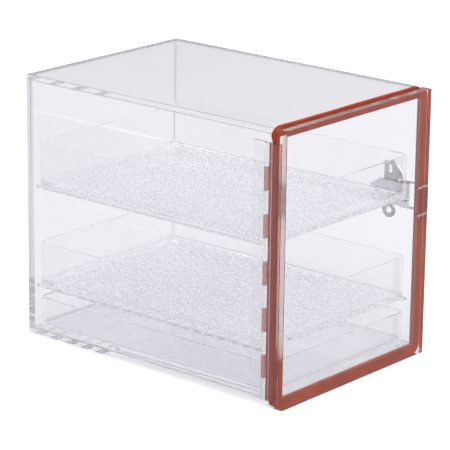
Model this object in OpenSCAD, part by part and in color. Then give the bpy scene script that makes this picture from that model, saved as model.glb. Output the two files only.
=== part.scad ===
// Desiccator cabinet: a clear acrylic box with a gasketed door on a piano
// hinge, a lockable draw latch, two perforated trays and a desiccant tray.
// Millimetres, +Z up, door at -Y, hinge at -X, latch at +X.

/* [Cabinet box] */
// Outside width of the box
box_w = 254; // [200:1:320]
// Outside depth of the box, without the door and gasket
box_d = 355.6; // [320:1:420]
// Outside height of the box, without the feet
box_h = 304.8; // [285:1:400]
// Thickness of the five box panels
panel_t = 6.35; // [4:0.05:9]
// Width of the polished chamfer on the outer panel edges
edge_break = 0.5; // [0.2:0.1:1]

/* [Feet] */
// Height of a bumper foot
foot_h = 3.3; // [2.8:0.1:6]
// Diameter of a bumper foot
foot_d = 12.7; // [9:0.1:18]
// Diameter of the flat a bumper foot stands on
foot_flat_d = 7; // [4:0.1:8]
// Distance from the box sides to the middle of a foot
foot_inset = 12; // [10:0.5:30]

/* [Door] */
// Thickness of the door panel
door_t = 12.7; // [10:0.1:16]
// How far the door hangs below the underside of the box
door_drop = 2.5; // [0:0.1:2.6]

/* [Gasket] */
// Width of the gasket strip
gasket_w = 10.5; // [7:0.1:14]
// Compressed thickness of the gasket, from door to box
gasket_t = 6.35; // [5:0.05:9]
// Outer corner radius of the gasket
gasket_r = 10; // [5:0.5:24]
// Corner radius of the gasket's opening
gasket_inner_r = 1.5; // [0.5:0.1:10]
// How far the squeezed gasket stands above the box top
gasket_rise = 1.8; // [0:0.1:3]
// Clearance between the gasket and the box front
gasket_clear = 0.3; // [0.3:0.05:0.5]

/* [Hinge] */
// Length of the piano hinge
hinge_len = 284.5; // [200:0.5:285]
// Height of the hinge's lower end above the underside of the box
hinge_z = 5; // [3:0.5:10]
// Number of knuckles
knuckle_count = 11; // [7:2:15]
// Width of each leaf, from the pin's axis to its free edge
leaf_w = 19; // [15:0.1:20]
// Thickness of a leaf
leaf_t = 1.6; // [1:0.1:2]
// Outside diameter of the knuckles
barrel_d = 4.8; // [4.4:0.1:6]
// Diameter of the hinge pin
hinge_pin_d = 2.4; // [2:0.1:3]
// Radial clearance of the hinge pin
pin_fit = 0.05; // [0.03:0.01:0.08]
// Gap between two knuckles
knuckle_gap = 0.4; // [0.3:0.05:0.8]
// Clearance between a turning knuckle and what it passes
barrel_clear = 0.3; // [0.3:0.05:0.6]
// Distance of the pin's axis behind the front of the box
hinge_axis_y = 5.5; // [4:0.1:7]

/* [Trays] */
// Height of a perforated tray
tray_h = 50.8; // [30:0.1:60]
// Height of the desiccant tray
pan_h = 38.1; // [20:0.1:45]
// Distance of the trays behind the front of the box
tray_front_gap = 8; // [7.5:0.25:60]
// Gap between a tray and each side wall
tray_gap = 1.6; // [1:0.1:3]
// Gap between a tray and the back panel
tray_back_gap = 4; // [1:0.5:5]
// Thickness of the tray walls
tray_wall = 3.2; // [2:0.1:5]
// Thickness of the tray floors
tray_floor_t = 4.8; // [3:0.1:6.4]
// Outer corner radius of the trays in plan
tray_r = 10; // [9.5:0.1:16]
// Radius of the cove between tray floor and tray wall
cove_r = 5; // [2:0.1:6]
// Height of the upper tray above the underside of the box
upper_tray_z = 177.2; // [160:0.1:190]
// Height of the lower tray above the underside of the box
lower_tray_z = 59.6; // [55:0.1:70]
// Diameter of a perforation
hole_d = 6; // [4:0.1:7]
// Spacing of the perforations across the tray
hole_pitch_x = 11.2; // [10:0.1:20]
// Spacing of two rows of perforations, front to back
hole_pitch_y = 8.65; // [8:0.05:20]
// Solid strip between a side wall's cove and the first perforation
hole_margin = 0.8; // [0.5:0.1:6]
// Solid strip between the front or rear wall's cove and the first row
hole_row_margin = 8; // [0.5:0.5:20]

/* [Tray rails] */
// How far a rail stands out from the side wall
rail_w = 9.5; // [6:0.1:14]
// Thickness of a rail
rail_t = 3.2; // [2:0.1:6]

/* [Latch] */
// Height of the latch's middle above the underside of the box
latch_z = 177; // [60:1:220]
// Distance from the box front to the latch base
latch_y = 12; // [10:0.5:20]
// Length of the latch base
latch_len = 55; // [54:1:70]
// Height of the latch base
latch_w = 27; // [25:0.1:28]
// Thickness of the latch's sheet steel
latch_t = 1.6; // [1.2:0.1:1.8]
// Distance of the lever's pivot from the side wall
pivot_x = 6.5; // [6.4:0.1:7]
// Distance of the lever's pivot from the front of the latch base
pivot_y = 9; // [8:0.1:10]
// Diameter of the lever's pivot pin
pivot_d = 3; // [2:0.1:3.2]
// Distance of the bail's pivot behind the lever's pivot
bail_throw = 8; // [7.5:0.1:9]
// Diameter of the bail's wire
bail_d = 2.4; // [1.8:0.1:2.6]
// Sideways clearance between the latch's moving pieces
latch_clear = 0.3; // [0.2:0.05:0.4]
// Height of the lever's top plate above its pivot
lever_rise = 2; // [1.8:0.1:2.4]
// How far the lever stops short of the base's end
lever_short = 9; // [8:0.5:14]
// Radius of the lever's curled finger lip
lip_r = 5; // [4:0.5:8]
// Height of the finger lip above the lever's top
lip_rise = 2.5; // [1.5:0.1:4]
// Diameter of the round ends that carry the pivot pin
ear_d = 7; // [5.6:0.1:7]
// Length of an ear where it stands on the base
ear_foot = 10; // [8:0.5:11]
// Width of the slotted lock tabs
tab_w = 16; // [14:0.5:18]
// Distance of the tabs' middle behind the bail's pivot
tab_throw = 15.5; // [14.5:0.5:18]
// Corner radius of the tabs
tab_corner = 4; // [2:0.5:6]
// How far the sloping edge of a tab reaches in front of the tab
gusset_reach = 15; // [8:0.5:16]
// Distance of the tabs' slot above the latch's middle
slot_z = 25.5; // [24:0.5:28]
// Width of the slot for a padlock
slot_w = 5.5; // [4.5:0.1:7]
// Length of the slot for a padlock
slot_len = 10; // [8:0.5:12]
// Outside diameter of the lower lock eye
eye_d = 17.5; // [15:0.5:19]
// Hole diameter of the lower lock eye
eye_hole_d = 8; // [6:0.1:9]
// Gap between the latch base and the ring of the eye
eye_gap = 0.9; // [0.5:0.1:4]
// Width of the neck between the latch base and the eye
neck_w = 8; // [5:0.5:12]

/* [Keeper] */
// Height of the keeper on the door's edge
keeper_h = 38; // [36:0.5:50]
// Width of the keeper's foot plate
keeper_w = 10.4; // [9:0.1:10.8]
// Distance of each keeper screw from the keeper's middle
keeper_screw_z = 16; // [15:0.1:16.5]
// Height of the hook's outer face above the door's edge
hook_x = 5.6; // [5:0.1:5.8]

/* [Screws] */
// Shank diameter of the screws
screw_d = 2.6; // [2:0.1:3]
// Head diameter of the screws
head_d = 5; // [4:0.1:5]
// Head height of the screws
head_h = 1.4; // [1:0.1:1.6]
// Length of a keeper screw in the door
keeper_screw_len = 13; // [8:0.5:20]
// Length of a latch screw in the side wall
latch_screw_len = 3.6; // [2:0.1:3.8]
// Distance of the front latch screw behind the lever's pivot
screw_front_y = 7.5; // [7:0.1:9]
// Distance of the rear latch screw from the base's rear end
screw_rear_y = 9; // [6:0.5:12]
// Diametral clearance of a screw in its hole
screw_fit = 0.1; // [0.05:0.05:0.2]

/* [Hidden] */

round_fn = 48;
small_fn = 24;
eps = 0.01;

// Box planes, measured from the middle of the box front's lower edge
side_x = box_w / 2;
inner_x = side_x - panel_t;
wall_h = box_h - 2 * panel_t;
door_y = -(gasket_t + door_t);
door_h = box_h + door_drop;

// Hinge line
barrel_r = barrel_d / 2;
hinge_x = -(side_x + barrel_clear + barrel_r);
knuckle_pitch = hinge_len / knuckle_count;
leaf_start = barrel_r + barrel_clear;

// Trays
tray_w = 2 * (inner_x - tray_gap);
tray_y = tray_front_gap;
tray_d = box_d - panel_t - tray_back_gap - tray_front_gap;
hole_edge = tray_wall + cove_r + hole_d / 2;
hole_cols = floor((tray_w - 2 * (hole_edge + hole_margin)) / hole_pitch_x);
hole_rows = floor((tray_d - 2 * (hole_edge + hole_row_margin)) / hole_pitch_y);

// Latch, measured from the side wall's outer face
lever_axis_y = latch_y + pivot_y;
bail_axis_y = lever_axis_y + bail_throw;
bail_axis_x = pivot_x - 1;
lever_w = latch_w - 2 * latch_t - 2 * latch_clear;
lever_x = pivot_x + lever_rise;
lever_end = latch_y + latch_len - lever_short;
lever_nose = ear_d * 3 / 7;
cheek_end = lever_end - 2 * latch_t;
lip_x = lever_x + latch_t + lip_rise;
tab_y = bail_axis_y + tab_throw;
tab_top = slot_z + slot_len / 2 + tab_corner;
lock_x = lever_x - latch_t - latch_clear;
gusset_y = bail_axis_y + 2 * bail_d;
eye_z = -(latch_w + eye_d) / 2 - eye_gap;
bail_w = latch_w + 2 * latch_clear + bail_d;
gusset_z = (bail_w + bail_d) / 2 + latch_clear;
bail_bend_r = 2.6;
bar_y = door_y + door_t / 2 + 0.2;
bar_x = hook_x + 0.6 + bail_d / 2;
keeper_y = door_y + door_t / 2;
screw_ys_ends = [lever_axis_y + screw_front_y, latch_y + latch_len - screw_rear_y];
latch_screw_ys = [screw_ys_ends[0], (screw_ys_ends[0] + screw_ys_ends[1]) / 2, screw_ys_ends[1]];

// Origin: under the middle of the whole cabinet, on the surface it stands on
reach_left = side_x + barrel_clear + barrel_d;
reach_right = side_x + lip_x;
mid_x = (reach_right - reach_left) / 2;
mid_y = (box_d + door_y) / 2;

clear_acrylic = [0.86, 0.87, 0.92, 0.35];
tray_plastic = [0.88, 0.89, 0.92, 0.4];
gasket_red = [0.55, 0.25, 0.18];
steel = [0.62, 0.63, 0.64];

// Moves a piece from the box's own frame to the model's frame
module in_cabinet() {
    translate([-mid_x, -mid_y, foot_h]) children();
}

// Moves a piece from the side wall's outer face at latch height
module on_latch_side() {
    in_cabinet() translate([side_x, 0, latch_z]) children();
}

module rounded_rect(w, d, r) {
    square([w - 2 * r, d], center = true);
    square([w, d - 2 * r], center = true);
    for (sx = [-1, 1], sy = [-1, 1])
        translate([sx * (w / 2 - r), sy * (d / 2 - r)]) circle(r = r, $fn = round_fn);
}

// Rectangle with its four corners cut at 45 degrees
module broken_rect(w, d, c) {
    polygon([[c, 0], [w - c, 0], [w, c], [w, d - c], [w - c, d], [c, d], [0, d - c], [0, c]]);
}

// Flat sheet, w by d by t, with all long edges of one direction broken
module sheet(w, d, t, c) {
    translate([0, d, 0]) rotate([90, 0, 0]) linear_extrude(height = d) broken_rect(w, t, c);
}

module bottom_panel() {
    color(clear_acrylic) in_cabinet() translate([-side_x, 0, 0]) sheet(box_w, box_d, panel_t, edge_break);
}

module top_panel() {
    color(clear_acrylic) in_cabinet() translate([-side_x, 0, box_h - panel_t])
        sheet(box_w, box_d, panel_t, edge_break);
}

module side_wall() {
    translate([0, 0, panel_t]) cube([panel_t, box_d, wall_h]);
}

module left_wall() {
    color(clear_acrylic) in_cabinet() translate([-side_x, 0, 0]) side_wall();
}

// The latch screws go into blind holes in this wall
module right_wall() {
    color(clear_acrylic) in_cabinet() difference() {
        translate([inner_x, 0, 0]) side_wall();
        translate([side_x, 0, latch_z]) for (y = latch_screw_ys)
            translate([-latch_screw_len - screw_fit, y, 0]) rotate([0, 90, 0])
                cylinder(d = screw_d + screw_fit, h = latch_screw_len + 1, $fn = small_fn);
    }
}

module back_panel() {
    color(clear_acrylic) in_cabinet() translate([-inner_x, box_d - panel_t, panel_t])
        cube([2 * inner_x, panel_t, wall_h]);
}

// One clear bumper: a slice of a ball, flat above and below
module foot() {
    dome_z = (pow(foot_d / 2, 2) - pow(foot_flat_d / 2, 2) + pow(foot_h, 2)) / (2 * foot_h);
    dome_r = sqrt(pow(foot_flat_d / 2, 2) + pow(dome_z, 2));
    intersection() {
        translate([0, 0, dome_z]) sphere(r = dome_r, $fn = round_fn);
        cylinder(d = foot_d + 1, h = foot_h, $fn = round_fn);
    }
}

module feet() {
    foot_x = side_x - foot_inset;
    color(clear_acrylic) in_cabinet()
        for (x = [-foot_x, foot_x], y = [foot_inset, box_d - foot_inset])
            translate([x, y, -foot_h]) foot();
}

module rail(side, top_z) {
    color(clear_acrylic) in_cabinet()
        translate([side < 0 ? -inner_x : inner_x - rail_w, tray_y, top_z - rail_t])
            cube([rail_w, tray_d, rail_t]);
}

module upper_left_rail() { rail(-1, upper_tray_z); }
module upper_right_rail() { rail(1, upper_tray_z); }
module lower_left_rail() { rail(-1, lower_tray_z); }
module lower_right_rail() { rail(1, lower_tray_z); }

// Knuckle and its web in plan, pointing along +Y from the pin's axis
module knuckle_plan() {
    difference() {
        union() {
            circle(d = barrel_d, $fn = round_fn);
            translate([barrel_r + barrel_clear - leaf_t, 0]) square([leaf_t - barrel_clear, leaf_start]);
            translate([barrel_r - leaf_t, 0]) square([leaf_t, barrel_r / 2]);
        }
        circle(d = hinge_pin_d + 2 * pin_fit, $fn = round_fn);
    }
}

// One leaf with every second knuckle, pointing along +Y from the pin's axis
module hinge_leaf(first) {
    translate([barrel_r + barrel_clear - leaf_t, leaf_start, 0])
        cube([leaf_t, leaf_w - leaf_start, hinge_len]);
    for (i = [first : 2 : knuckle_count - 1])
        translate([0, 0, i * knuckle_pitch + knuckle_gap / 2])
            linear_extrude(height = knuckle_pitch - knuckle_gap) knuckle_plan();
}

module hinge_wall_leaf() {
    color(clear_acrylic) in_cabinet() translate([hinge_x, hinge_axis_y, hinge_z]) hinge_leaf(0);
}

// The door leaf is relieved where it swings past the box wall
module hinge_door_leaf() {
    color(clear_acrylic) in_cabinet() difference() {
        translate([hinge_x, hinge_axis_y, hinge_z]) mirror([0, 1, 0]) hinge_leaf(1);
        translate([-side_x - barrel_clear, -gasket_clear, 0]) cube([leaf_t, 2 * hinge_axis_y, box_h]);
    }
}

module hinge_pin() {
    color(steel) in_cabinet() translate([hinge_x, hinge_axis_y, hinge_z])
        cylinder(d = hinge_pin_d, h = hinge_len, $fn = round_fn);
}

// Blind holes in the door's latch edge take the keeper screws
module door_panel() {
    color(clear_acrylic) in_cabinet() difference() {
        translate([-side_x, door_y, -door_drop]) linear_extrude(height = door_h)
            broken_rect(box_w, door_t, edge_break);
        keeper_screw_places() rotate([0, -90, 0]) translate([0, 0, -1])
            cylinder(d = screw_d + screw_fit, h = keeper_screw_len + 1 + screw_fit, $fn = small_fn);
    }
}

// Closed strip, flat on the door and down to the door's lower edge
module gasket() {
    gasket_h = door_h + gasket_rise;
    color(gasket_red) in_cabinet() translate([0, -gasket_clear, gasket_h / 2 - door_drop]) rotate([90, 0, 0])
        linear_extrude(height = gasket_t - gasket_clear) difference() {
            rounded_rect(box_w, gasket_h, gasket_r);
            rounded_rect(box_w - 2 * gasket_w, gasket_h - 2 * gasket_w, gasket_inner_r);
        }
}

module keeper_screw_places() {
    for (z = [-1, 1] * keeper_screw_z)
        translate([side_x, keeper_y, latch_z + z]) children();
}

// Foot plate with a hook along its middle; the hook opens to the front
module keeper() {
    hook_h = bail_w - 2 * bail_d - 2 * latch_clear;
    color(steel) on_latch_side() translate([0, keeper_y, 0]) {
        difference() {
            translate([latch_t, 0, 0]) rotate([0, -90, 0]) linear_extrude(height = latch_t)
                rounded_rect(keeper_h, keeper_w, 2);
            for (z = [-1, 1] * keeper_screw_z) translate([-1, 0, z]) rotate([0, 90, 0])
                cylinder(d = screw_d + screw_fit, h = latch_t + 2, $fn = small_fn);
        }
        translate([0, 0, -hook_h / 2]) linear_extrude(height = hook_h) hook_plan();
    }
}

// Hook in plan: an upright with a lip that ends in a round nose
module hook_plan() {
    upright_y = keeper_w / 2 - latch_t - 1.8;
    lip_y = -(keeper_w / 2 - 3);
    difference() {
        translate([latch_t - eps, lip_y]) square([hook_x - latch_t + eps, upright_y + latch_t - lip_y]);
        translate([latch_t - 1, lip_y - 1]) square([hook_x - 2 * latch_t + 1, upright_y - lip_y + 1]);
    }
    translate([hook_x - latch_t / 2, lip_y]) circle(d = latch_t, $fn = small_fn);
}

// Pan-head screw along X, head on a plate of the given thickness
module side_screw(len, plate_t) {
    rotate([0, 90, 0]) {
        translate([0, 0, -len]) cylinder(d = screw_d, h = len + plate_t + eps, $fn = small_fn);
        translate([0, 0, plate_t]) difference() {
            cylinder(d1 = head_d, d2 = head_d * 0.8, h = head_h, $fn = small_fn);
            translate([-head_d / 2, -0.35, head_h - 0.6]) cube([head_d, 0.7, 1]);
        }
    }
}

module keeper_screws() {
    color(steel) in_cabinet() keeper_screw_places() side_screw(keeper_screw_len, latch_t);
}

module latch_screws() {
    color(steel) on_latch_side() for (y = latch_screw_ys)
        translate([0, y, 0]) side_screw(latch_screw_len, latch_t);
}

// Outline drawn in Y and Z, given thickness along X from x0
module side_plate(x0, t) {
    translate([x0, 0, 0]) rotate([90, 0, 90]) linear_extrude(height = t) children();
}

module base_outline() {
    taper = 1.35 * screw_rear_y;
    polygon([[latch_y, -latch_w / 2], [latch_y + latch_len - taper, -latch_w / 2],
             [latch_y + latch_len, -latch_w / 5], [latch_y + latch_len, latch_w / 5],
             [latch_y + latch_len - taper, latch_w / 2], [latch_y, latch_w / 2]]);
}

// Lock tab outline from z0 up to the tab's top, with its slot and sloping edge
module tab_outline(z0) {
    side = tab_w / 2 - tab_corner;
    tab_front = tab_y - tab_w / 2;
    difference() {
        union() {
            polygon([[tab_front + 1, z0], [tab_front + 1, tab_top - tab_corner],
                     [tab_front, tab_top - tab_corner], [tab_front - gusset_reach, gusset_z],
                     [gusset_y, gusset_z], [gusset_y, z0]]);
            translate([tab_y - tab_w / 2, z0]) square([tab_w, tab_top - tab_corner - z0]);
            translate([tab_y - side, z0]) square([2 * side, tab_top - z0]);
            for (s = [-1, 1]) translate([tab_y + s * side, tab_top - tab_corner])
                circle(r = tab_corner, $fn = round_fn);
        }
        translate([tab_y - slot_w / 2, slot_z - (slot_len - slot_w) / 2])
            square([slot_w, slot_len - slot_w]);
        for (s = [-1, 1]) translate([tab_y, slot_z + s * (slot_len - slot_w) / 2])
            circle(d = slot_w, $fn = round_fn);
    }
}

module eye_outline() {
    difference() {
        union() {
            translate([tab_y, eye_z]) circle(d = eye_d, $fn = round_fn);
            translate([tab_y - neck_w / 2, eye_z]) square([neck_w, -latch_w / 2 - eye_z]);
        }
        translate([tab_y, eye_z]) circle(d = eye_hole_d, $fn = round_fn);
    }
}

// Flat plate on the side wall, held by three screws
module latch_base() {
    color(steel) on_latch_side() difference() {
        side_plate(0, latch_t) base_outline();
        for (y = latch_screw_ys) translate([-1, y, 0]) rotate([0, 90, 0])
            cylinder(d = screw_d + screw_fit, h = latch_t + 2, $fn = small_fn);
    }
}

// Two ears on the base that carry the pivot pin
module latch_ears() {
    color(steel) on_latch_side() for (z = [-latch_w / 2, latch_w / 2 - latch_t]) translate([0, 0, z])
        linear_extrude(height = latch_t) difference() {
            union() {
                translate([latch_t, lever_axis_y - ear_foot / 2]) square([pivot_x - latch_t, ear_foot]);
                translate([pivot_x, lever_axis_y]) circle(d = ear_d, $fn = round_fn);
            }
            translate([pivot_x, lever_axis_y]) circle(d = pivot_d + 2 * pin_fit, $fn = round_fn);
        }
}

// Slotted tab above the base and round eye below it, each on its own foot
module lock_hasps() {
    reach = lock_x + latch_t;
    color(steel) on_latch_side() {
        side_plate(lock_x, latch_t) tab_outline(latch_w / 2 - latch_t);
        side_plate(lock_x, latch_t) eye_outline();
        translate([latch_t, tab_y - tab_w / 2, latch_w / 2 - latch_t])
            cube([reach - latch_t, tab_w, latch_t]);
        translate([latch_t, tab_y - neck_w / 2, -latch_w / 2]) cube([reach - latch_t, neck_w, latch_t]);
        side_plate(lock_x, latch_t) translate([tab_y - neck_w / 2, -latch_w / 2 - eps])
            square([neck_w, latch_t + eps]);
    }
}

module latch_pivot_pin() {
    color(steel) on_latch_side() translate([pivot_x, lever_axis_y, -latch_w / 2])
        cylinder(d = pivot_d, h = latch_w, $fn = round_fn);
}

// Lever top in plan, ending in a lip that curls away from the base
module lever_plan() {
    translate([lever_x, lever_axis_y - lever_nose])
        square([latch_t, lever_end - lever_axis_y + lever_nose]);
    intersection() {
        translate([lever_x + latch_t + lip_r, lever_end]) difference() {
            circle(r = lip_r + latch_t, $fn = round_fn);
            circle(r = lip_r, $fn = round_fn);
        }
        translate([lever_x, lever_end - eps]) square([lip_x - lever_x, lip_r + latch_t + 1]);
    }
}

module cheek_plan() {
    difference() {
        union() {
            translate([pivot_x, lever_axis_y]) circle(d = ear_d, $fn = round_fn);
            translate([pivot_x - ear_d / 2, lever_axis_y])
                square([lever_rise + (ear_d + latch_t) / 2, cheek_end - lever_axis_y]);
            translate([pivot_x, lever_axis_y - lever_nose]) square([lever_rise + latch_t / 2, lever_nose]);
        }
        translate([pivot_x, lever_axis_y]) circle(d = pivot_d + 2 * pin_fit, $fn = round_fn);
        translate([bail_axis_x, bail_axis_y]) circle(d = bail_d + 4 * pin_fit, $fn = round_fn);
    }
}

// Channel-shaped lever with a slotted lock tab above it
module latch_lever() {
    color(steel) on_latch_side() {
        translate([0, 0, -lever_w / 2]) linear_extrude(height = lever_w) lever_plan();
        for (z = [-lever_w / 2, lever_w / 2 - latch_t])
            translate([0, 0, z]) linear_extrude(height = latch_t) cheek_plan();
        side_plate(lever_x, latch_t) tab_outline(lever_w / 2 - latch_t);
    }
}

// Straight piece of the bail's wire from x, y to the right (or up), in the bail's plane
module wire(x, y, len, up) {
    translate([x, y, 0]) rotate(up ? [-90, 0, 0] : [0, 90, 0])
        cylinder(d = bail_d, h = len, $fn = round_fn);
}

// Quarter bend of the bail's wire around x, y
module wire_bend(x, y, turn) {
    translate([x, y, 0]) rotate([0, 0, turn]) rotate_extrude(angle = 90, $fn = round_fn)
        translate([bail_bend_r, 0]) circle(d = bail_d, $fn = round_fn);
}

// Wire bail: two arms, a bar for the keeper, ends turned in to the lever
module latch_bail() {
    run = [bar_x - bail_axis_x, bar_y - bail_axis_y];
    reach = norm(run);
    arm_z = bail_w / 2;
    end_z = lever_w / 2 - latch_t - 0.5;
    bend = bail_bend_r;
    color(steel) on_latch_side() translate([bail_axis_x, bail_axis_y, 0])
        rotate([90, 0, atan2(run[1], run[0])]) {
            wire(reach, -arm_z + bend, 2 * (arm_z - bend), true);
            for (s = [0, 1]) mirror([0, s, 0]) {
                wire(0, end_z, arm_z - bend - end_z, true);
                wire_bend(bend, arm_z - bend, 90);
                wire(bend, arm_z, reach - 2 * bend, false);
                wire_bend(reach - bend, arm_z - bend, 0);
            }
        }
}

// Moves a tray piece to the middle of its tray, at the tray's underside
module at_tray(z) {
    in_cabinet() translate([0, tray_y + tray_d / 2, z]) children();
}

// Perforated floor with staggered rows
module perforated_floor() {
    x0 = -hole_cols * hole_pitch_x / 2;
    y0 = -hole_rows * hole_pitch_y / 2;
    linear_extrude(height = tray_floor_t) difference() {
        rounded_rect(tray_w, tray_d, tray_r);
        for (row = [0 : hole_rows], col = [0 : hole_cols - row % 2])
            translate([x0 + (col + (row % 2) / 2) * hole_pitch_x, y0 + row * hole_pitch_y])
                circle(d = hole_d, $fn = small_fn);
    }
}

// Tray wall in section: x runs inwards from its outer face, y up
module wall_section(h) {
    square([tray_wall, h]);
    translate([tray_wall - eps, 0]) difference() {
        square([cove_r + eps, cove_r]);
        translate([cove_r + eps, cove_r]) circle(r = cove_r, $fn = round_fn);
    }
}

// Four straight walls and four round corners
module wall_ring(h) {
    for (side = [0, 1, 2, 3]) {
        across = side % 2 == 0 ? tray_w : tray_d;
        out = side % 2 == 0 ? tray_d : tray_w;
        rotate([0, 0, side * 90]) {
            translate([-(across / 2 - tray_r), -out / 2, 0]) rotate([90, 0, 90])
                linear_extrude(height = across - 2 * tray_r) wall_section(h);
            translate([across / 2 - tray_r, -out / 2 + tray_r, 0]) rotate([0, 0, -90])
                rotate_extrude(angle = 90, $fn = round_fn)
                    intersection() {
                        translate([tray_r, 0]) mirror([1, 0]) wall_section(h);
                        square([tray_r, h]);
                    }
        }
    }
}

module upper_tray_floor() { color(tray_plastic) at_tray(upper_tray_z) perforated_floor(); }
module lower_tray_floor() { color(tray_plastic) at_tray(lower_tray_z) perforated_floor(); }

module tray_walls(z) {
    color(tray_plastic) at_tray(z + tray_floor_t) wall_ring(tray_h - tray_floor_t);
}

module upper_tray_walls() { tray_walls(upper_tray_z); }
module lower_tray_walls() { tray_walls(lower_tray_z); }

// Solid tray for the desiccant, on the bottom panel
module desiccant_tray() {
    color(tray_plastic) at_tray(panel_t) {
        linear_extrude(height = tray_floor_t) rounded_rect(tray_w, tray_d, tray_r);
        translate([0, 0, tray_floor_t]) wall_ring(pan_h - tray_floor_t);
    }
}

bottom_panel();
top_panel();
left_wall();
right_wall();
back_panel();
feet();
upper_left_rail();
upper_right_rail();
lower_left_rail();
lower_right_rail();
hinge_wall_leaf();
hinge_pin();
latch_base();
latch_ears();
lock_hasps();
latch_screws();
latch_pivot_pin();
door_panel();
gasket();
hinge_door_leaf();
keeper();
keeper_screws();
latch_lever();
latch_bail();
upper_tray_floor();
upper_tray_walls();
lower_tray_floor();
lower_tray_walls();
desiccant_tray();
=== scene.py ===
import bpy
import bmesh
import math
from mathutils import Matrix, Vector
from mathutils.geometry import delaunay_2d_cdt


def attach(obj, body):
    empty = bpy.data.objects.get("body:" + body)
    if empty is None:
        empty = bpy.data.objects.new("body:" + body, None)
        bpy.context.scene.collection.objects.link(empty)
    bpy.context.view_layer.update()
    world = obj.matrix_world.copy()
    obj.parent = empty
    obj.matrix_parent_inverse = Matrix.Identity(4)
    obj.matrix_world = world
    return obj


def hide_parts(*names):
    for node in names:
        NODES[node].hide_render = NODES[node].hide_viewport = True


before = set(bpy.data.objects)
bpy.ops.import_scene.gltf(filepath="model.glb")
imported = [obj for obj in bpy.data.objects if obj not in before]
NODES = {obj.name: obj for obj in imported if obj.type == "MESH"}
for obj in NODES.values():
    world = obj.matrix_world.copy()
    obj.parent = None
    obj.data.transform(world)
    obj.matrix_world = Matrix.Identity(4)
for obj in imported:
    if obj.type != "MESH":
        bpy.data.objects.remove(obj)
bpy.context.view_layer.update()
MM = 0.001

# ---------------------------------------------------------------- sizes, in mm in the box's own frame
# X runs across the box from its middle, Y from its open front to its back, Z up from its underside.
# The shared frame's origin lies at (MID_X, MID_Y, -FEET_H) in this frame.
BOX_W, BOX_D, BOX_H, SHEET = 254.0, 355.6, 304.8, 6.35
OUT_X = BOX_W / 2
IN_X = OUT_X - SHEET
IN_Y = BOX_D - SHEET
DOOR_T, DOOR_LOW, DOOR_BACK = 12.7, -2.5, -6.35
DOOR_FRONT = DOOR_BACK - DOOR_T
FEET_H = 3.3
MID_X = 3.75
MID_Y = (BOX_D + DOOR_FRONT) / 2

TRAY_FRONT, TRAY_BACK_GAP, TRAY_SIDE_GAP = 8.0, 4.0, 1.6
TRAY_W = 2 * (IN_X - TRAY_SIDE_GAP)
TRAY_D = IN_Y - TRAY_FRONT - TRAY_BACK_GAP
RAIL_W, RAIL_T = 9.5, 3.2
RAIL_Y = (TRAY_FRONT, TRAY_FRONT + TRAY_D)
RAIL_TOPS = {"lower": 59.6, "upper": 177.2}
RAILS = {level: (top - RAIL_T, top) for level, top in RAIL_TOPS.items()}

LEAF_LOW, LEAF_L = 5.0, 284.5
LEAF_HIGH = LEAF_LOW + LEAF_L
KNUCKLE_R, KNUCKLES = 2.4, 11
HINGE_GAP = 0.3
AXIS_X, AXIS_Y = -(OUT_X + HINGE_GAP + KNUCKLE_R), 5.5
LATCH_Z = 177.0

# Two clear faces in one place render black, so clear pieces that touch stand this far apart
HAIR = 0.03
# Two places nearer to each other than this count as the same
NEAR = 2 * HAIR
# Vertices nearer to each other than this are made one, in m in a mesh and in mm in an outline
WELD = 1e-6
# The four corners of a rounded rectangle, anticlockwise: their side, and the angle their arc starts at
CORNERS = ((1, 1, 0), (-1, 1, 90), (-1, -1, 180), (1, -1, 270))
# The axes' places in a point
X, Y, Z = 0, 1, 2


def point(x, y, z):
    """A place in the box's frame, in mm, as a point of the shared frame in m."""
    return Vector(((x - MID_X) * MM, (y - MID_Y) * MM, (z + FEET_H) * MM))


def in_box(co):
    """A point of the shared frame, in m, as X, Y and Z in the box's frame in mm."""
    return co.x / MM + MID_X, co.y / MM + MID_Y, co.z / MM - FEET_H


# ---------------------------------------------------------------- nodes that the materials share
def new_material(name):
    """An empty material, its node tree and its output."""
    material = bpy.data.materials.new(name)
    material.use_nodes = True
    tree = material.node_tree
    tree.nodes.clear()
    return material, tree, tree.nodes.new("ShaderNodeOutputMaterial")


def feed(tree, socket, value):
    """Joins an input to another node's output, or sets it when the value is a number or a colour."""
    if isinstance(value, bpy.types.NodeSocket):
        tree.links.new(value, socket)
    elif isinstance(value, tuple):
        socket.default_value = (*value, 1.0)
    else:
        socket.default_value = value


def noise(tree, scale, detail=3.0, rough=0.5, finer=None):
    """Noise that is fixed to the piece. finer: how many times finer it is along X, Y and Z."""
    place = tree.nodes.new("ShaderNodeTexCoord").outputs["Object"]
    if finer:
        mapping = tree.nodes.new("ShaderNodeMapping")
        mapping.inputs["Scale"].default_value = finer
        tree.links.new(place, mapping.inputs["Vector"])
        place = mapping.outputs["Vector"]
    texture = tree.nodes.new("ShaderNodeTexNoise")
    texture.inputs["Scale"].default_value = scale
    texture.inputs["Detail"].default_value = detail
    texture.inputs["Roughness"].default_value = rough
    tree.links.new(place, texture.inputs["Vector"])
    return texture.outputs["Fac"]


def ramp(tree, source, stops):
    """Colours along a value from 0 to 1. stops: (value, colour)."""
    node = tree.nodes.new("ShaderNodeValToRGB")
    elements = node.color_ramp.elements
    while len(elements) < len(stops):
        elements.new(0.5)
    for element, (position, colour) in zip(elements, stops):
        element.position = position
        element.color = (*colour, 1.0)
    tree.links.new(source, node.inputs["Fac"])
    return node.outputs["Color"]


def map_range(tree, source, from_range, to_range=(0.0, 1.0)):
    node = tree.nodes.new("ShaderNodeMapRange")
    for socket, value in zip(("From Min", "From Max", "To Min", "To Max"), from_range + to_range):
        node.inputs[socket].default_value = value
    tree.links.new(source, node.inputs["Value"])
    return node.outputs["Result"]


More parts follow.
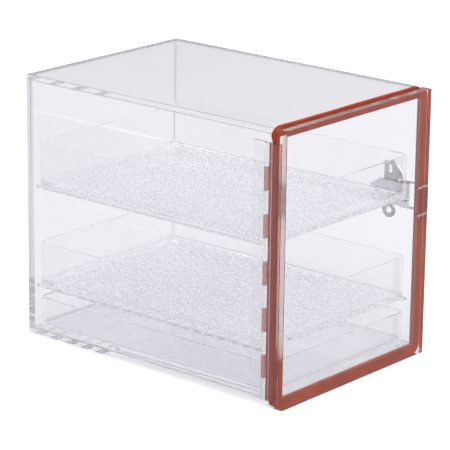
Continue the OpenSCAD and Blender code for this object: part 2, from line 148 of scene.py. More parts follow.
def bump(tree, source, strength, distance):
    node = tree.nodes.new("ShaderNodeBump")
    node.inputs["Strength"].default_value = strength
    node.inputs["Distance"].default_value = distance
    tree.links.new(source, node.inputs["Height"])
    return node.outputs["Normal"]


def calculate(tree, operation, *values):
    node = tree.nodes.new("ShaderNodeMath")
    node.operation = operation
    for socket, value in zip(node.inputs, values):
        feed(tree, socket, value)
    return node.outputs["Value"]


def mix_colours(tree, blend, share, first, second):
    node = tree.nodes.new("ShaderNodeMixRGB")
    node.blend_type = blend
    for socket, value in zip(("Fac", "Color1", "Color2"), (share, first, second)):
        feed(tree, node.inputs[socket], value)
    return node.outputs["Color"]


def mix_shaders(tree, share, first, second):
    """The first shader where the share is 0, the second where it is 1."""
    node = tree.nodes.new("ShaderNodeMixShader")
    feed(tree, node.inputs["Fac"], share)
    tree.links.new(first, node.inputs[1])
    tree.links.new(second, node.inputs[2])
    return node.outputs["Shader"]


# ---------------------------------------------------------------- clear plastics
# The colour that thick clear plastic takes on, and what a lamp's light keeps on its way through to a surface
ABSORBED = (0.72, 0.72, 0.76)
SHADOW_TINT = (0.995, 0.995, 0.997)
# How deep the waves of a sheet's faces are counted, in m
WAVE_DEPTH = 0.002


def sawn_roughness(tree, rough):
    """Polished on the faces that look along Y, rough on the others, as a saw leaves a sheet's edges."""
    faces_to = tree.nodes.new("ShaderNodeSeparateXYZ")
    tree.links.new(tree.nodes.new("ShaderNodeTexCoord").outputs["Normal"], faces_to.inputs["Vector"])
    along_y = calculate(tree, "ABSOLUTE", faces_to.outputs["Y"])
    return map_range(tree, along_y, (0.5, 0.9), (rough, 0.0))


def clear_plastic(name, tint_a, tint_b, wave, wave_scale, density, haze=0.0, cut_edge=0.0, ior=1.49):
    """Plastic that light really passes through.

    Its tint drifts between two colours, its faces wave a little, and thick stretches look darker.
    haze is the most roughness of a moulded face, cut_edge that of a sheet's sawn edges."""
    material, tree, out = new_material(name)
    plastic = tree.nodes.new("ShaderNodeBsdfPrincipled")
    plastic.inputs["IOR"].default_value = ior
    plastic.inputs["Transmission Weight"].default_value = 1.0
    waves = noise(tree, wave_scale, 2.0)
    tree.links.new(ramp(tree, waves, [(0.3, tint_a), (0.7, tint_b)]), plastic.inputs["Base Color"])
    if haze:
        rough = map_range(tree, noise(tree, 60.0, 4.0), (0.3, 0.7), (0.0, haze))
    elif cut_edge:
        rough = sawn_roughness(tree, cut_edge)
    else:
        rough = 0.0
    feed(tree, plastic.inputs["Roughness"], rough)
    tree.links.new(bump(tree, waves, wave, WAVE_DEPTH), plastic.inputs["Normal"])
    # shadow rays go straight through, so that what stands behind clear plastic is lit
    lit = tree.nodes.new("ShaderNodeBsdfTransparent")
    feed(tree, lit.inputs["Color"], SHADOW_TINT)
    shadow_ray = tree.nodes.new("ShaderNodeLightPath").outputs["Is Shadow Ray"]
    surface = mix_shaders(tree, shadow_ray, plastic.outputs["BSDF"], lit.outputs["BSDF"])
    tree.links.new(surface, out.inputs["Surface"])
    inside = tree.nodes.new("ShaderNodeVolumeAbsorption")
    feed(tree, inside.inputs["Color"], ABSORBED)
    inside.inputs["Density"].default_value = density
    tree.links.new(inside.outputs["Volume"], out.inputs["Volume"])
    return material


ACRYLIC = clear_plastic("clear_acrylic", (0.958, 0.957, 0.972), (0.972, 0.971, 0.984),
                        wave=0.01, wave_scale=5.0, density=0.4)
DOOR_ACRYLIC = clear_plastic("door_acrylic", (0.958, 0.957, 0.972), (0.970, 0.969, 0.984),
                             wave=0.01, wave_scale=5.0, density=0.8, cut_edge=0.2)
TRAY_PLASTIC = clear_plastic("tray_plastic", (0.97, 0.97, 0.98), (0.985, 0.985, 0.99),
                             wave=0.03, wave_scale=12.0, density=0.5, haze=0.02, ior=1.38)
HINGE = clear_plastic("hinge_plastic", (0.93, 0.92, 0.92), (0.97, 0.97, 0.97),
                      wave=0.10, wave_scale=90.0, density=2.0, haze=0.08)
# the leaf on the door, whose tint gets the gasket's red and shade painted in below
HINGE_PAINTED_GASKET_RED = clear_plastic("hinge_plastic_painted_gasket_red", (0.94, 0.93, 0.93), (0.98, 0.97, 0.97),
                                wave=0.10, wave_scale=90.0, density=2.0, haze=0.08)
RUBBER = clear_plastic("clear_rubber", (0.90, 0.90, 0.91), (0.96, 0.96, 0.97),
                       wave=0.1, wave_scale=120.0, density=3.0, haze=0.25)

# Painted reflection and shade: the red that the gasket shows through the leaf on the door, and the shade
# beside it, are painted into the leaf's tint, as the photo's red knuckles look: most beside the gasket, least
# over it. Places along Y in the box's frame, each with its colour.
OVER_DOOR, OVER_GASKET = (0.70, 0.42, 0.39), (0.92, 0.82, 0.80)
BESIDE_GASKET, ON_KNUCKLE = (0.40, 0.15, 0.13), (0.64, 0.39, 0.36)
PAINTED_GASKET_RED = (
    (-13.5, OVER_DOOR), (-7.0, OVER_DOOR),
    (-6.2, OVER_GASKET), (-0.6, OVER_GASKET),
    (0.0, BESIDE_GASKET), (2.9, BESIDE_GASKET),
    (3.6, ON_KNUCKLE), (8.0, ON_KNUCKLE),
)


def tint_along_y(material, stops):
    """Multiplies the plastic's tint by a colour that changes with the place along Y."""
    tree = material.node_tree
    tint_socket = tree.nodes["Principled BSDF"].inputs["Base Color"]
    tint = tint_socket.links[0].from_socket
    first = point(0, stops[0][0], 0).y
    last = point(0, stops[-1][0], 0).y
    place = tree.nodes.new("ShaderNodeSeparateXYZ")
    tree.links.new(tree.nodes.new("ShaderNodeTexCoord").outputs["Object"], place.inputs["Vector"])
    share = map_range(tree, place.outputs["Y"], (first, last))
    shares = [(point(0, y, 0).y - first) / (last - first) for y, _ in stops]
    colour = ramp(tree, share, [(at, colour) for at, (_, colour) in zip(shares, stops)])
    tree.links.new(mix_colours(tree, "MULTIPLY", 1.0, tint, colour), tint_socket)


tint_along_y(HINGE_PAINTED_GASKET_RED, PAINTED_GASKET_RED)


# ---------------------------------------------------------------- cement, silicone and steel
CEMENT_COLOUR = (0.72, 0.72, 0.73)


def cement():
    """The thin whitish film of a cemented joint, clearer in some places than in others."""
    material, tree, out = new_material("cement")
    share = map_range(tree, noise(tree, 70.0), (0.35, 0.65), (0.35, 0.75))
    front = tree.nodes.new("ShaderNodeBsdfDiffuse")
    through = tree.nodes.new("ShaderNodeBsdfTranslucent")
    for side in (front, through):
        feed(tree, side.inputs["Color"], CEMENT_COLOUR)
    film = mix_shaders(tree, 0.5, front.outputs["BSDF"], through.outputs["BSDF"])
    clear = tree.nodes.new("ShaderNodeBsdfTransparent").outputs["BSDF"]
    tree.links.new(mix_shaders(tree, share, clear, film), out.inputs["Surface"])
    return material


def silicone():
    """Matt brick-red silicone with a fine grain."""
    material, tree, out = new_material("red_silicone")
    rubber = tree.nodes.new("ShaderNodeBsdfPrincipled")
    reds = [(0.3, (0.30, 0.037, 0.008)), (0.55, (0.40, 0.052, 0.013)), (0.8, (0.49, 0.073, 0.022))]
    tree.links.new(ramp(tree, noise(tree, 45.0, 5.0, 0.6), reds), rubber.inputs["Base Color"])
    rubber.inputs["Roughness"].default_value = 0.6
    rubber.inputs["Specular IOR Level"].default_value = 0.12
    tree.links.new(bump(tree, noise(tree, 700.0), 0.25, 0.0004), rubber.inputs["Normal"])
    tree.links.new(rubber.outputs["BSDF"], out.inputs["Surface"])
    return material


def plated_steel(name, dark, light, smooth, rough):
    """Plated sheet steel with a grain along Y. dark and light: its greys; smooth and rough: its roughness."""
    material, tree, out = new_material(name)
    metal = tree.nodes.new("ShaderNodeBsdfPrincipled")
    metal.inputs["Metallic"].default_value = 1.0
    grain = noise(tree, 1.0, 4.0, finer=(600.0, 40.0, 600.0))
    greys = [(0.35, (dark, dark, dark * 1.01)), (0.65, (light, light, light))]
    tree.links.new(ramp(tree, grain, greys), metal.inputs["Base Color"])
    tree.links.new(map_range(tree, grain, (0.25, 0.75), (smooth, rough)), metal.inputs["Roughness"])
    tree.links.new(bump(tree, grain, 0.08, 0.0002), metal.inputs["Normal"])
    tree.links.new(metal.outputs["BSDF"], out.inputs["Surface"])
    return material


CEMENT = cement()
SILICONE = silicone()
# Lit and shaded copies of one plated steel: painted shade darkens the latch's ears, hasps, bail, screws and
# pin, and a painted lighter tone brightens its base, lever and keeper
STEEL_PAINTED_SHADE = plated_steel("plated_steel", dark=0.26, light=0.55, smooth=0.10, rough=0.24)
STEEL_PAINTED_LIT = plated_steel("plated_steel_painted_lit", dark=0.80, light=0.95, smooth=0.28, rough=0.45)

# ---------------------------------------------------------------- the CAD nodes' looks
LOOKS = (
    (ACRYLIC, ("bottom_panel", "top_panel", "left_wall", "right_wall", "back_panel",
               "upper_left_rail", "upper_right_rail", "lower_left_rail", "lower_right_rail")),
    (DOOR_ACRYLIC, ("door_panel",)),
    (TRAY_PLASTIC, ("upper_tray_floor", "upper_tray_walls", "lower_tray_floor", "lower_tray_walls",
                    "desiccant_tray")),
    (HINGE, ("hinge_wall_leaf", "hinge_door_leaf", "hinge_pin")),
    (RUBBER, ("feet",)),
    (SILICONE, ("gasket",)),
    (STEEL_PAINTED_LIT, ("latch_base", "latch_lever", "keeper")),
    (STEEL_PAINTED_SHADE, ("latch_ears", "lock_hasps", "latch_bail", "latch_screws", "latch_pivot_pin", "keeper_screws")),
)
STEEL_EDGE = 0.3


def break_edges(node, width):
    """Breaks the edges of a CAD node by a width in mm."""
    edge = node.modifiers.new("edge", "BEVEL")
    edge.width = width * MM
    edge.segments = 2
    edge.limit_method = "ANGLE"
    edge.angle_limit = math.radians(60)


for material, names in LOOKS:
    for name in names:
        NODES[name].data.materials.clear()
        NODES[name].data.materials.append(material)
for name in ("latch_base", "latch_ears", "lock_hasps", "latch_lever", "keeper"):
    break_edges(NODES[name], STEEL_EDGE)


# ---------------------------------------------------------------- building pieces
def bridge(bm, low, high):
    """The wall between two rings of as many vertices, one face for each step round them."""
    faces = []
    for i in range(len(low)):
        j = (i + 1) % len(low)
        faces.append(bm.faces.new((low[i], low[j], high[j], high[i])))
    return faces


def solid(bm, low, high):
    """The wall between two rings of vertices, closed at both ends."""
    return bridge(bm, low, high) + [bm.faces.new(low), bm.faces.new(high[::-1])]


def circle(x, y, radius, steps):
    turns = [2 * math.pi * i / steps for i in range(steps)]
    return [Vector((x + radius * math.cos(turn), y + radius * math.sin(turn))) for turn in turns]


def add_piece(name, bm, material, body, *nodes, smooth=None):
    """A piece that rides a body and replaces CAD nodes. smooth: edges under this angle look round."""
    mesh = bpy.data.meshes.new(name)
    bm.to_mesh(mesh)
    bm.free()
    mesh.materials.append(material)
    piece = bpy.data.objects.new(name, mesh)
    bpy.context.scene.collection.objects.link(piece)
    if smooth:
        mesh.shade_smooth()
        mesh.set_sharp_from_angle(angle=math.radians(smooth))
        normals = piece.modifiers.new("flat_faces_stay_flat", "WEIGHTED_NORMAL")
        normals.weight = 100
        normals.keep_sharp = True
    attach(piece, body)
    if nodes:
        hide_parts(*nodes)


# ---------------------------------------------------------------- cemented box: five panels and four rails
# The cemented panels pass light on as one body, so each piece ends open where the next one goes on.
EDGE_BREAK = 0.28
# Two faces that meet at more than this, in radians, make an edge
SHARP = 0.5
# The cement ends this far inside the box's outer faces
CEMENT_INSET = 0.4


def grid(bm, axis, at, us, vs, skip=()):
    """Quads at one place along an axis. us and vs are the cuts along the other two."""
    for i in range(len(us) - 1):
        for j in range(len(vs) - 1):
            if (i, j) not in skip:
                corners = (us[i], vs[j]), (us[i + 1], vs[j]), (us[i + 1], vs[j + 1]), (us[i], vs[j + 1])
                places = [corner[:axis] + (at,) + corner[axis:] for corner in corners]
                bm.faces.new([bm.verts.new(point(*place)) for place in places])


def box_shell():
    """Every face of the box and its rails, with none left inside the plastic."""
    bm = bmesh.new()
    side = OUT_X - HAIR
    xs = (-side, -IN_X, IN_X, side)
    ys = (0, IN_Y, BOX_D)
    zs = (HAIR, SHEET, BOX_H - SHEET, BOX_H)
    grid(bm, Z, HAIR, xs, ys)
    grid(bm, Z, BOX_H, xs, ys)
    grid(bm, X, -side, ys, zs)
    grid(bm, X, side, ys, zs)
    grid(bm, Y, BOX_D, xs, zs)
    grid(bm, Y, 0, xs, zs, skip=((1, 1),))
    inner_ys = (0, *RAIL_Y, IN_Y)
    inner_zs = (SHEET, *RAILS["lower"], *RAILS["upper"], BOX_H - SHEET)
    for wall, edge in ((-IN_X, RAIL_W - IN_X), (IN_X, IN_X - RAIL_W)):
        grid(bm, X, wall, inner_ys, inner_zs, skip=((1, 1), (1, 3)))
        across = sorted((wall, edge))
        for rail in RAILS.values():
            for z in rail:
                grid(bm, Z, z, across, RAIL_Y)
            for y in RAIL_Y:
                grid(bm, Y, y, across, rail)
            grid(bm, X, edge, RAIL_Y, rail)
    grid(bm, Y, IN_Y, (-IN_X, IN_X), inner_zs)
    for z in (SHEET, BOX_H - SHEET):
        grid(bm, Z, z, (-IN_X, IN_X), inner_ys)
    bmesh.ops.remove_doubles(bm, verts=bm.verts, dist=WELD)
    bmesh.ops.recalc_face_normals(bm, faces=bm.faces)
    return bm


def is_outer_edge(edge):
    """True for the edges where two of the box's outside faces meet."""
    if len(edge.link_faces) != 2 or edge.calc_face_angle() < SHARP:
        return False
    x, y, z = in_box((edge.verts[0].co + edge.verts[1].co) / 2)
    on_side = OUT_X - abs(x) < NEAR
    on_front_or_back = y < NEAR or y > BOX_D - NEAR
    on_top_or_bottom = z < NEAR or z > BOX_H - NEAR
    return on_side + on_front_or_back + on_top_or_bottom >= 2


def panel_or_rail(middle):
    """The node that the face with this middle belongs to."""
    x, y, z = in_box(middle)
    hand = "left" if x < 0 else "right"
    between_walls = abs(x) < IN_X - NEAR
    for level, (low, top) in RAILS.items():
        if low - NEAR <= z <= top + NEAR and between_walls and RAIL_Y[0] - NEAR <= y <= RAIL_Y[1] + NEAR:
            return f"{level}_{hand}_rail"
    if z > BOX_H - SHEET - NEAR:
        return "top_panel"
    if z < SHEET + NEAR:
        return "bottom_panel"
    if between_walls:
        return "back_panel"
    return hand + "_wall"


def add_box():
    """Breaks the shell's outer edges and shares its faces out to the panels and rails."""
    shell = box_shell()
    edges = [edge for edge in shell.edges if is_outer_edge(edge)]
    bmesh.ops.bevel(shell, geom=edges, offset=EDGE_BREAK * MM, segments=2, profile=0.6,
                    affect="EDGES", clamp_overlap=True)
    faces_of = {}
    for face in shell.faces:
        faces_of.setdefault(panel_or_rail(face.calc_center_median()), []).append(face)
    for node, faces in faces_of.items():
        bm = bmesh.new()
        copies = {}
        for face in faces:
            for vert in face.verts:
                if vert not in copies:
                    copies[vert] = bm.verts.new(vert.co)
            bm.faces.new([copies[vert] for vert in face.verts])
        add_piece(node + "_sheet", bm, ACRYLIC, "cabinet", node)
    shell.free()


def cement_films():
    """The films between the top and bottom panels and the walls and back that stand between them."""
    bm = bmesh.new()
    side, back, front = OUT_X - CEMENT_INSET, BOX_D - CEMENT_INSET, CEMENT_INSET
    for z in (SHEET, BOX_H - SHEET):
        grid(bm, Z, z, (-side, -IN_X), (front, back))
        grid(bm, Z, z, (IN_X, side), (front, back))
        grid(bm, Z, z, (-IN_X, IN_X), (IN_Y, back))
    return bm


add_box()
add_piece("cement_lines", cement_films(), CEMENT, "cabinet")

# ---------------------------------------------------------------- trays
WALL, FLOOR_T, COVE, TRAY_R = 3.2, 4.8, 5.0, 10.0
# The width of the broken edge underneath, and the rim's height as a share of half its width
UNDER_EDGE, RIM_FLATNESS = 0.9, 0.7
# The perforations, and how far their edges are broken
HOLE_D, HOLE_BREAK = 6.0, 0.25
COLUMN_PITCH, ROW_PITCH, COLUMN_MARGIN, ROW_MARGIN = 11.2, 8.65, 0.8, 8.0
TRAY_H, DESICCANT_TRAY_H = 50.8, 38.1
CORNER_STEPS, ARC_STEPS, HOLE_STEPS = 8, 6, 14
# The mode of Blender's triangulation that fills everything inside the outline
FILL_ALL = 0


def tray_outline(inset):
    """The tray's rounded rectangle from above, this far inside its outer faces, round the tray's middle."""
    radius = TRAY_R - inset
    points = []
    for side_x, side_y, start in CORNERS:
        middle = Vector((side_x * (TRAY_W / 2 - TRAY_R), side_y * (TRAY_D / 2 - TRAY_R)))
        for i in range(CORNER_STEPS + 1):
            turn = math.radians(start + 90.0 * i / CORNER_STEPS)
            points.append(middle + radius * Vector((math.cos(turn), math.sin(turn))))
    return points


def tray_profile(height):
    """Inset from the outer faces and height, from the underside's edge over the rim to the cove's foot."""
    rim = WALL / 2
    rim_h = rim * RIM_FLATNESS
    profile = [(UNDER_EDGE, 0.0), (UNDER_EDGE * 0.3, UNDER_EDGE * 0.3), (0.0, UNDER_EDGE)]
    for i in range(ARC_STEPS + 1):
        turn = math.pi * i / ARC_STEPS
        profile.append((rim - rim * math.cos(turn), height - rim_h + rim_h * math.sin(turn)))
    for i in range(ARC_STEPS + 1):
        turn = math.pi / 2 * i / ARC_STEPS
        profile.append((WALL + COVE - COVE * math.cos(turn), FLOOR_T + COVE - COVE * math.sin(turn)))
    return profile


def hole_places():
    """The middles of the perforations, in staggered rows round the tray's middle."""
    edge = WALL + COVE + HOLE_D / 2
    columns = math.floor((TRAY_W - 2 * (edge + COLUMN_MARGIN)) / COLUMN_PITCH)
    rows = math.floor((TRAY_D - 2 * (edge + ROW_MARGIN)) / ROW_PITCH)
    places = []
    for row in range(rows + 1):
        shifted = row % 2
        for column in range(columns + 1 - shifted):
            across = (column + shifted / 2 - columns / 2) * COLUMN_PITCH
            places.append((across, (row - rows / 2) * ROW_PITCH))
    return places


def tray_ring(bm, points, z):
    """Vertices at places round the tray's middle."""
    return [bm.verts.new(point(q.x, q.y + TRAY_FRONT + TRAY_D / 2, z)) for q in points]


def flat_face(bm, ring, inset, z, holes):
    """Fills a ring of the tray and leaves the holes open. Returns the rings of vertices round the holes."""
    points = tray_outline(inset)
    loops = [range(len(points))]
    for x, y in holes:
        start = len(points)
        points += circle(x, y, HOLE_D / 2 + HOLE_BREAK, HOLE_STEPS)
        loops.append(range(start, len(points)))
    edges = [(loop[i], loop[(i + 1) % len(loop)]) for loop in loops for i in range(len(loop))]
    verts = ring + tray_ring(bm, points[len(ring):], z)
    hole_of = [None] * len(ring) + [hole for hole in holes for _ in range(HOLE_STEPS)]
    _, _, triangles, origins, _, _ = delaunay_2d_cdt(points, edges, [], FILL_ALL, WELD)
    for triangle in triangles:
        corners = [origins[i][0] for i in triangle]
        middle = sum((points[corner] for corner in corners), Vector((0, 0))) / 3
        hole = hole_of[corners[0]]
        # open over a hole's bore; thin triangles may stay over the broken edge round it
        if hole is None or (middle - Vector(hole)).length >= HOLE_D / 2:
            bm.faces.new([verts[corner] for corner in corners])
    return [[verts[i] for i in loop] for loop in loops[1:]]


def tray(height, low, perforated):
    """A moulded tray with a rounded rim and a coved floor. low is the height of its underside."""
    bm = bmesh.new()
    profile = tray_profile(height)
    rings = [tray_ring(bm, tray_outline(inset), low + z) for inset, z in profile]
    for below, above in zip(rings, rings[1:]):
        bridge(bm, below, above)
    holes = hole_places() if perforated else []
    undersides = flat_face(bm, rings[0], profile[0][0], low, holes)
    tops = flat_face(bm, rings[-1], profile[-1][0], low + FLOOR_T, holes)
    for (x, y), underside, top in zip(holes, undersides, tops):
        bore = circle(x, y, HOLE_D / 2, HOLE_STEPS)
        levels = [underside, tray_ring(bm, bore, low + HOLE_BREAK),
                  tray_ring(bm, bore, low + FLOOR_T - HOLE_BREAK), top]
        for below, above in zip(levels, levels[1:]):
            bridge(bm, below, above)
    bmesh.ops.recalc_face_normals(bm, faces=bm.faces)
    return bm


for level in ("upper", "lower"):
    body = level + "_tray"
    add_piece(body + "_moulding", tray(TRAY_H, RAIL_TOPS[level] + HAIR, True), TRAY_PLASTIC,
              body, body + "_floor", body + "_walls", smooth=30)
add_piece("desiccant_tray_moulding", tray(DESICCANT_TRAY_H, SHEET + HAIR, False), TRAY_PLASTIC,
          "desiccant_tray", "desiccant_tray", smooth=30)

# ---------------------------------------------------------------- gasket, squeezed between door and box
STRIP, STRIP_CORNER, STRIP_INNER_CORNER = 10.5, 10.0, 1.5
STRIP_LOW, STRIP_HIGH = DOOR_LOW, BOX_H + 1.8
# The strip's front lies this far in the door's sheet, and its back this far short of the box
STRIP_BITE, STRIP_GAP = 0.12, 0.3
STATION_STEP, CORNER_STATIONS, SECTION_STEPS = 8.0, 10, 8
# How far the sides bulge, and how far their edges by the box are rounded back
BULGE, SOFT_EDGE = 0.3, 0.4
# The hinge side's strip is narrower by this much, and swells out by as much past the leaf's ends
HINGE_SIDE_SHIFT = 2.9
# The swelling starts this far past an end and takes this long to reach its full width
SWELL_START, SWELL_LENGTH = 1.0, 5.0
# The outer side's wander along the top: size, turn at each station and first turn of two waves
WAVES = ((0.12, 0.37, 0.0), (0.08, 0.83, 1.0))
WANDER_INWARD = 0.2


def gasket_stations():
    """Places along the strip: its outer point, its inner point and the way out, in X and Z."""
    middle, half = (STRIP_LOW + STRIP_HIGH) / 2, (STRIP_HIGH - STRIP_LOW) / 2
    turned = []
    for side_x, side_z, start in CORNERS:
        width = STRIP if side_x > 0 else STRIP - HINGE_SIDE_SHIFT
        outer = Vector((side_x * (OUT_X - STRIP_CORNER), middle + side_z * (half - STRIP_CORNER)))
        inner = Vector((side_x * (OUT_X - width - STRIP_INNER_CORNER),
                        middle + side_z * (half - STRIP - STRIP_INNER_CORNER)))
        for i in range(CORNER_STATIONS + 1):
            turn = math.radians(start + 90.0 * i / CORNER_STATIONS)
            way = Vector((math.cos(turn), math.sin(turn)))
            turned.append((outer + STRIP_CORNER * way, inner + STRIP_INNER_CORNER * way, way))
    stations = []
    for a, b in zip(turned, turned[1:] + turned[:1]):
        parts = max(1, round((b[0] - a[0]).length / STATION_STEP))
        stations += [tuple(p.lerp(q, k / parts) for p, q in zip(a, b)) for k in range(parts)]
    return stations


def swell_past_leaf(outer, way):
    """How far the squeezed strip swells out sideways, above and below the hinge leaf."""
    if outer.x > -OUT_X / 2:
        return 0.0
    past = max(outer.y - LEAF_HIGH, LEAF_LOW - outer.y) - SWELL_START
    return HINGE_SIDE_SHIFT * min(1.0, max(0.0, past / SWELL_LENGTH)) * max(0.0, -way.x)


def gasket_ring(bm, number, outer, inner, way):
    """The strip's section at a station: from the door along the outer side and back along the inner one."""
    front, back = DOOR_BACK - STRIP_BITE, -STRIP_GAP
    wander = sum(size * math.sin(number * step + first) for size, step, first in WAVES) - WANDER_INWARD
    swell = swell_past_leaf(outer, way)
    ring = []
    for on_outer in (True, False):
        side = outer if on_outer else inner
        for k in range(SECTION_STEPS + 1):
            share = k / SECTION_STEPS if on_outer else 1 - k / SECTION_STEPS
            bulge = BULGE * math.sin(math.pi * share)
            rounded = SOFT_EDGE * max(0.0, 1 - 4 * (1 - share)) ** 2
            if on_outer:
                out = (bulge if way.x > 0.9 else 0.0) - rounded + (wander if way.y > 0.5 else 0.0)
            else:
                out = rounded - bulge
            q = side + out * way
            if on_outer:
                q.x -= swell
            ring.append(bm.verts.new(point(q.x, front + (back - front) * share, q.y)))
    return ring


def gasket():
    """Closed strip with soft sides; the door side is flat and bonded to the door."""
    bm = bmesh.new()
    rings = [gasket_ring(bm, number, *station) for number, station in enumerate(gasket_stations())]
    for ring, following in zip(rings, rings[1:] + rings[:1]):
        bridge(bm, ring, following)
    bmesh.ops.recalc_face_normals(bm, faces=bm.faces)
    return bm


add_piece("gasket_strip", gasket(), SILICONE, "door", "gasket", smooth=50)

# ---------------------------------------------------------------- door sheet
# Its cut edges stand a hair inside the hinge leaf and the keeper that are fixed to them.
DOOR_CHAMFER = 0.5
# The keeper's screw holes: how far above and below the latch's middle, how deep and how wide
SCREW_OFFSET, SCREW_DEPTH, SCREW_HOLE_R, SCREW_HOLE_STEPS = 16.0, 13.1, 1.35, 16
# What is left of the sheet between a screw's hole and the keeper's face, so that the two don't touch
POCKET_COVER = 0.02


def screw_pocket(bm, x0, x1, y, z):
    """A screw's hole along X, as a closed pocket of air in the sheet."""
    section = circle(y, z, SCREW_HOLE_R, SCREW_HOLE_STEPS)
    return solid(bm, *([bm.verts.new(point(x, q.x, q.y)) for q in section] for x in (x0, x1)))


def door():
    """The sheet with its chamfered upright edges and the pockets of the keeper's screws."""
    bm = bmesh.new()
    side, chamfer = OUT_X - HAIR, DOOR_CHAMFER
    outline = [(chamfer - side, DOOR_FRONT), (side - chamfer, DOOR_FRONT), (side, DOOR_FRONT + chamfer),
               (side, DOOR_BACK - chamfer), (side - chamfer, DOOR_BACK), (chamfer - side, DOOR_BACK),
               (-side, DOOR_BACK - chamfer), (-side, DOOR_FRONT + chamfer)]
    solid(bm, *([bm.verts.new(point(x, y, z)) for x, y in outline] for z in (DOOR_LOW, BOX_H)))
    bmesh.ops.recalc_face_normals(bm, faces=bm.faces)
    pockets = []
    for z in (LATCH_Z - SCREW_OFFSET, LATCH_Z + SCREW_OFFSET):
        middle_y = (DOOR_FRONT + DOOR_BACK) / 2
        pockets += screw_pocket(bm, side - SCREW_DEPTH, side - POCKET_COVER, middle_y, z)
    bmesh.ops.recalc_face_normals(bm, faces=pockets)
    bmesh.ops.reverse_faces(bm, faces=pockets)
    return bm


add_piece("door_sheet", door(), DOOR_ACRYLIC, "door", "door_panel")

# ---------------------------------------------------------------- clear piano hinge
# Each leaf stands a hair off the sheet that it is cemented to. X and Y are measured from the pin here.
LEAF_T, LEAF_GAP, LEAF_CHAMFER = 1.6, 0.04, 0.35
LEAF_NEAR, LEAF_FAR = 2.75, 19.0
LEAF_INNER_X = HINGE_GAP + KNUCKLE_R - LEAF_GAP
LEAF_OUTER_X = HINGE_GAP + KNUCKLE_R - LEAF_T
# How much shorter a knuckle is at each end than its share of the length
KNUCKLE_GAP, KNUCKLE_STEPS = 0.2, 21
# The web that joins a knuckle to its leaf starts on the barrel here, and ends just short of the leaf
WEB_START, WEB_SIDE, WEB_END = (0.8, 2.2), 0.6, 2.74


def leaf_outline():
    near, far, chamfer = LEAF_NEAR, LEAF_FAR, LEAF_CHAMFER
    return [(LEAF_OUTER_X, near), (LEAF_INNER_X, near), (LEAF_INNER_X, far - chamfer),
            (LEAF_INNER_X - chamfer, far), (LEAF_OUTER_X + chamfer, far), (LEAF_OUTER_X, far - chamfer)]


def knuckle_outline():
    """Three quarters of a round barrel, and the web that runs into the leaf."""
    turns = [math.radians(90 + 270.0 * k / KNUCKLE_STEPS) for k in range(1, KNUCKLE_STEPS + 1)]
    barrel = [(KNUCKLE_R * math.cos(turn), KNUCKLE_R * math.sin(turn)) for turn in turns]
    return [WEB_START] + barrel + [(KNUCKLE_R, WEB_SIDE), (KNUCKLE_R, WEB_END), (LEAF_OUTER_X, WEB_END)]


def hinge_leaf(first, way):
    """A leaf and every second knuckle from the first. way: 1 towards the box's back, -1 towards the door."""
    bm = bmesh.new()
    pitch = LEAF_L / KNUCKLES
    runs = [(leaf_outline(), LEAF_LOW, LEAF_HIGH)]
    for i in range(first, KNUCKLES, 2):
        low = LEAF_LOW + i * pitch
        runs.append((knuckle_outline(), low + KNUCKLE_GAP, low + pitch - KNUCKLE_GAP))
    for outline, low, high in runs:
        solid(bm, *([bm.verts.new(point(AXIS_X + x, AXIS_Y + way * y, z)) for x, y in outline]
                    for z in (low, high)))
    bmesh.ops.recalc_face_normals(bm, faces=bm.faces)
    return bm


add_piece("hinge_wall_leaf_clear", hinge_leaf(0, 1), HINGE, "cabinet", "hinge_wall_leaf", smooth=30)
add_piece("hinge_door_leaf_clear", hinge_leaf(1, -1), HINGE_PAINTED_GASKET_RED, "door", "hinge_door_leaf", smooth=30)

# ---------------------------------------------------------------- floor and world
# What the floor gives off for rays from the camera and for rays that come through clear plastic
FLOOR_LIFT, FLOOR_LIFT_THROUGH = 0.45, 0.13
FLOOR_HALF = 6
# How bright the white surroundings are when they are seen through clear plastic
SEEN_THROUGH = 0.88
WHITE = (1.0, 1.0, 1.0)


def floor_material():
    material, tree, out = new_material("floor")
    paper = tree.nodes.new("ShaderNodeBsdfDiffuse")
    greys = [(0.3, (0.79, 0.79, 0.80)), (0.7, (0.81, 0.81, 0.82))]
    tree.links.new(ramp(tree, noise(tree, 2.0, 2.0), greys), paper.inputs["Color"])
    ray = tree.nodes.new("ShaderNodeLightPath").outputs
    direct = calculate(tree, "MULTIPLY", ray["Is Camera Ray"], FLOOR_LIFT)
    through = calculate(tree, "MULTIPLY", ray["Is Transmission Ray"], FLOOR_LIFT_THROUGH)
    glow = tree.nodes.new("ShaderNodeEmission")
    feed(tree, glow.inputs["Color"], WHITE)
    tree.links.new(calculate(tree, "MAXIMUM", direct, through), glow.inputs["Strength"])
    both = tree.nodes.new("ShaderNodeAddShader")
    tree.links.new(paper.outputs["BSDF"], both.inputs[0])
    tree.links.new(glow.outputs["Emission"], both.inputs[1])
    tree.links.new(both.outputs["Shader"], out.inputs["Surface"])
    return material


def add_floor():
    mesh = bpy.data.meshes.new("floor")
    corners = [(side_x * FLOOR_HALF, side_y * FLOOR_HALF, 0) for side_x, side_y, _ in CORNERS]
    mesh.from_pydata(corners, [], [(0, 1, 2, 3)])
    mesh.materials.append(floor_material())
    floor = bpy.data.objects.new("floor", mesh)
    bpy.context.scene.collection.objects.link(floor)


def background(tree, colour):
    node = tree.nodes.new("ShaderNodeBackground")
    feed(tree, node.inputs["Color"], colour)
    node.inputs["Strength"].default_value = 1.0
    return node.outputs["Background"]


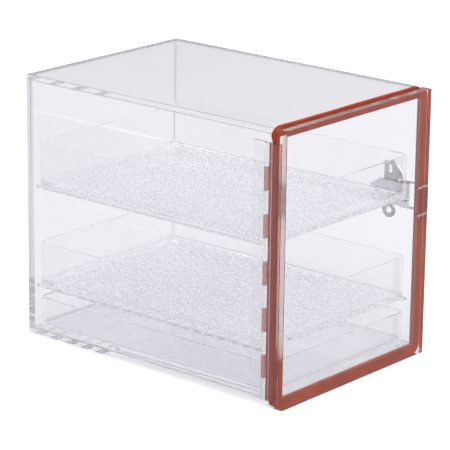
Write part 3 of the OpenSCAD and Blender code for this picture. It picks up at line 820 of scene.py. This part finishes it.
def add_world():
    """White for the camera, and a studio that is brighter overhead for what the pieces mirror and scatter."""
    world = bpy.data.worlds.new("studio")
    bpy.context.scene.world = world
    world.use_nodes = True
    tree = world.node_tree
    tree.nodes.clear()
    way = tree.nodes.new("ShaderNodeSeparateXYZ")
    tree.links.new(tree.nodes.new("ShaderNodeTexCoord").outputs["Generated"], way.inputs["Vector"])
    height = map_range(tree, way.outputs["Z"], (-0.2, 1.0))
    studio = background(tree, ramp(tree, height, [
        (0.1, (0.52, 0.52, 0.55)), (0.40, (0.60, 0.60, 0.63)), (0.95, WHITE)]))
    ray = tree.nodes.new("ShaderNodeLightPath").outputs
    seen_through = (SEEN_THROUGH, SEEN_THROUGH * 0.994, SEEN_THROUGH * 1.035)
    white = background(tree, mix_colours(tree, "MIX", ray["Is Transmission Ray"], WHITE, seen_through))
    is_seen = calculate(tree, "MAXIMUM", ray["Is Camera Ray"], ray["Is Transmission Ray"])
    out = tree.nodes.new("ShaderNodeOutputWorld")
    tree.links.new(mix_shaders(tree, is_seen, studio, white), out.inputs["Surface"])


add_floor()
add_world()

# ---------------------------------------------------------------- lamps, in m and W
LAMP_AIM = Vector((0, 0, 0.15))


def add_lamp(name, place, width, height, power):
    light = bpy.data.lights.new(name, "AREA")
    light.shape = "RECTANGLE"
    light.size = width
    light.size_y = height
    light.energy = power
    lamp = bpy.data.objects.new(name, light)
    bpy.context.scene.collection.objects.link(lamp)
    lamp.location = place
    lamp.rotation_euler = (LAMP_AIM - Vector(place)).to_track_quat("-Z", "Y").to_euler()
    return lamp


add_lamp("key", (-0.9, -1.6, 2.2), width=1.6, height=1.2, power=19)
fill = add_lamp("fill", (2.0, -0.8, 1.2), width=1.4, height=1.4, power=10)
# it would show as hard white spots in the sheets' edges, which the photo doesn't have
fill.visible_transmission = False

# ---------------------------------------------------------------- camera, fitted to the photo
PHOTO_PX, FOCAL_PX = 450.0, 2527.34
SENSOR_MM = 36.0
CAMERA_PLACE = (-2.09707, -1.756195, 0.96160)
CAMERA_TURN = (1.2792, -0.0118, -0.8689)

lens = bpy.data.cameras.new("cam")
lens.sensor_width = SENSOR_MM
lens.lens = FOCAL_PX * SENSOR_MM / PHOTO_PX
lens.clip_end = 50
camera = bpy.data.objects.new("cam", lens)
bpy.context.scene.collection.objects.link(camera)
camera.location = CAMERA_PLACE
camera.rotation_euler = CAMERA_TURN
bpy.context.scene.camera = camera
bpy.context.scene.view_settings.view_transform = "Standard"
# light is turned back many times inside thick clear sheet
paths = bpy.context.scene.cycles
paths.max_bounces = 72
paths.glossy_bounces = 64
paths.transmission_bounces = 64
paths.transparent_max_bounces = 48
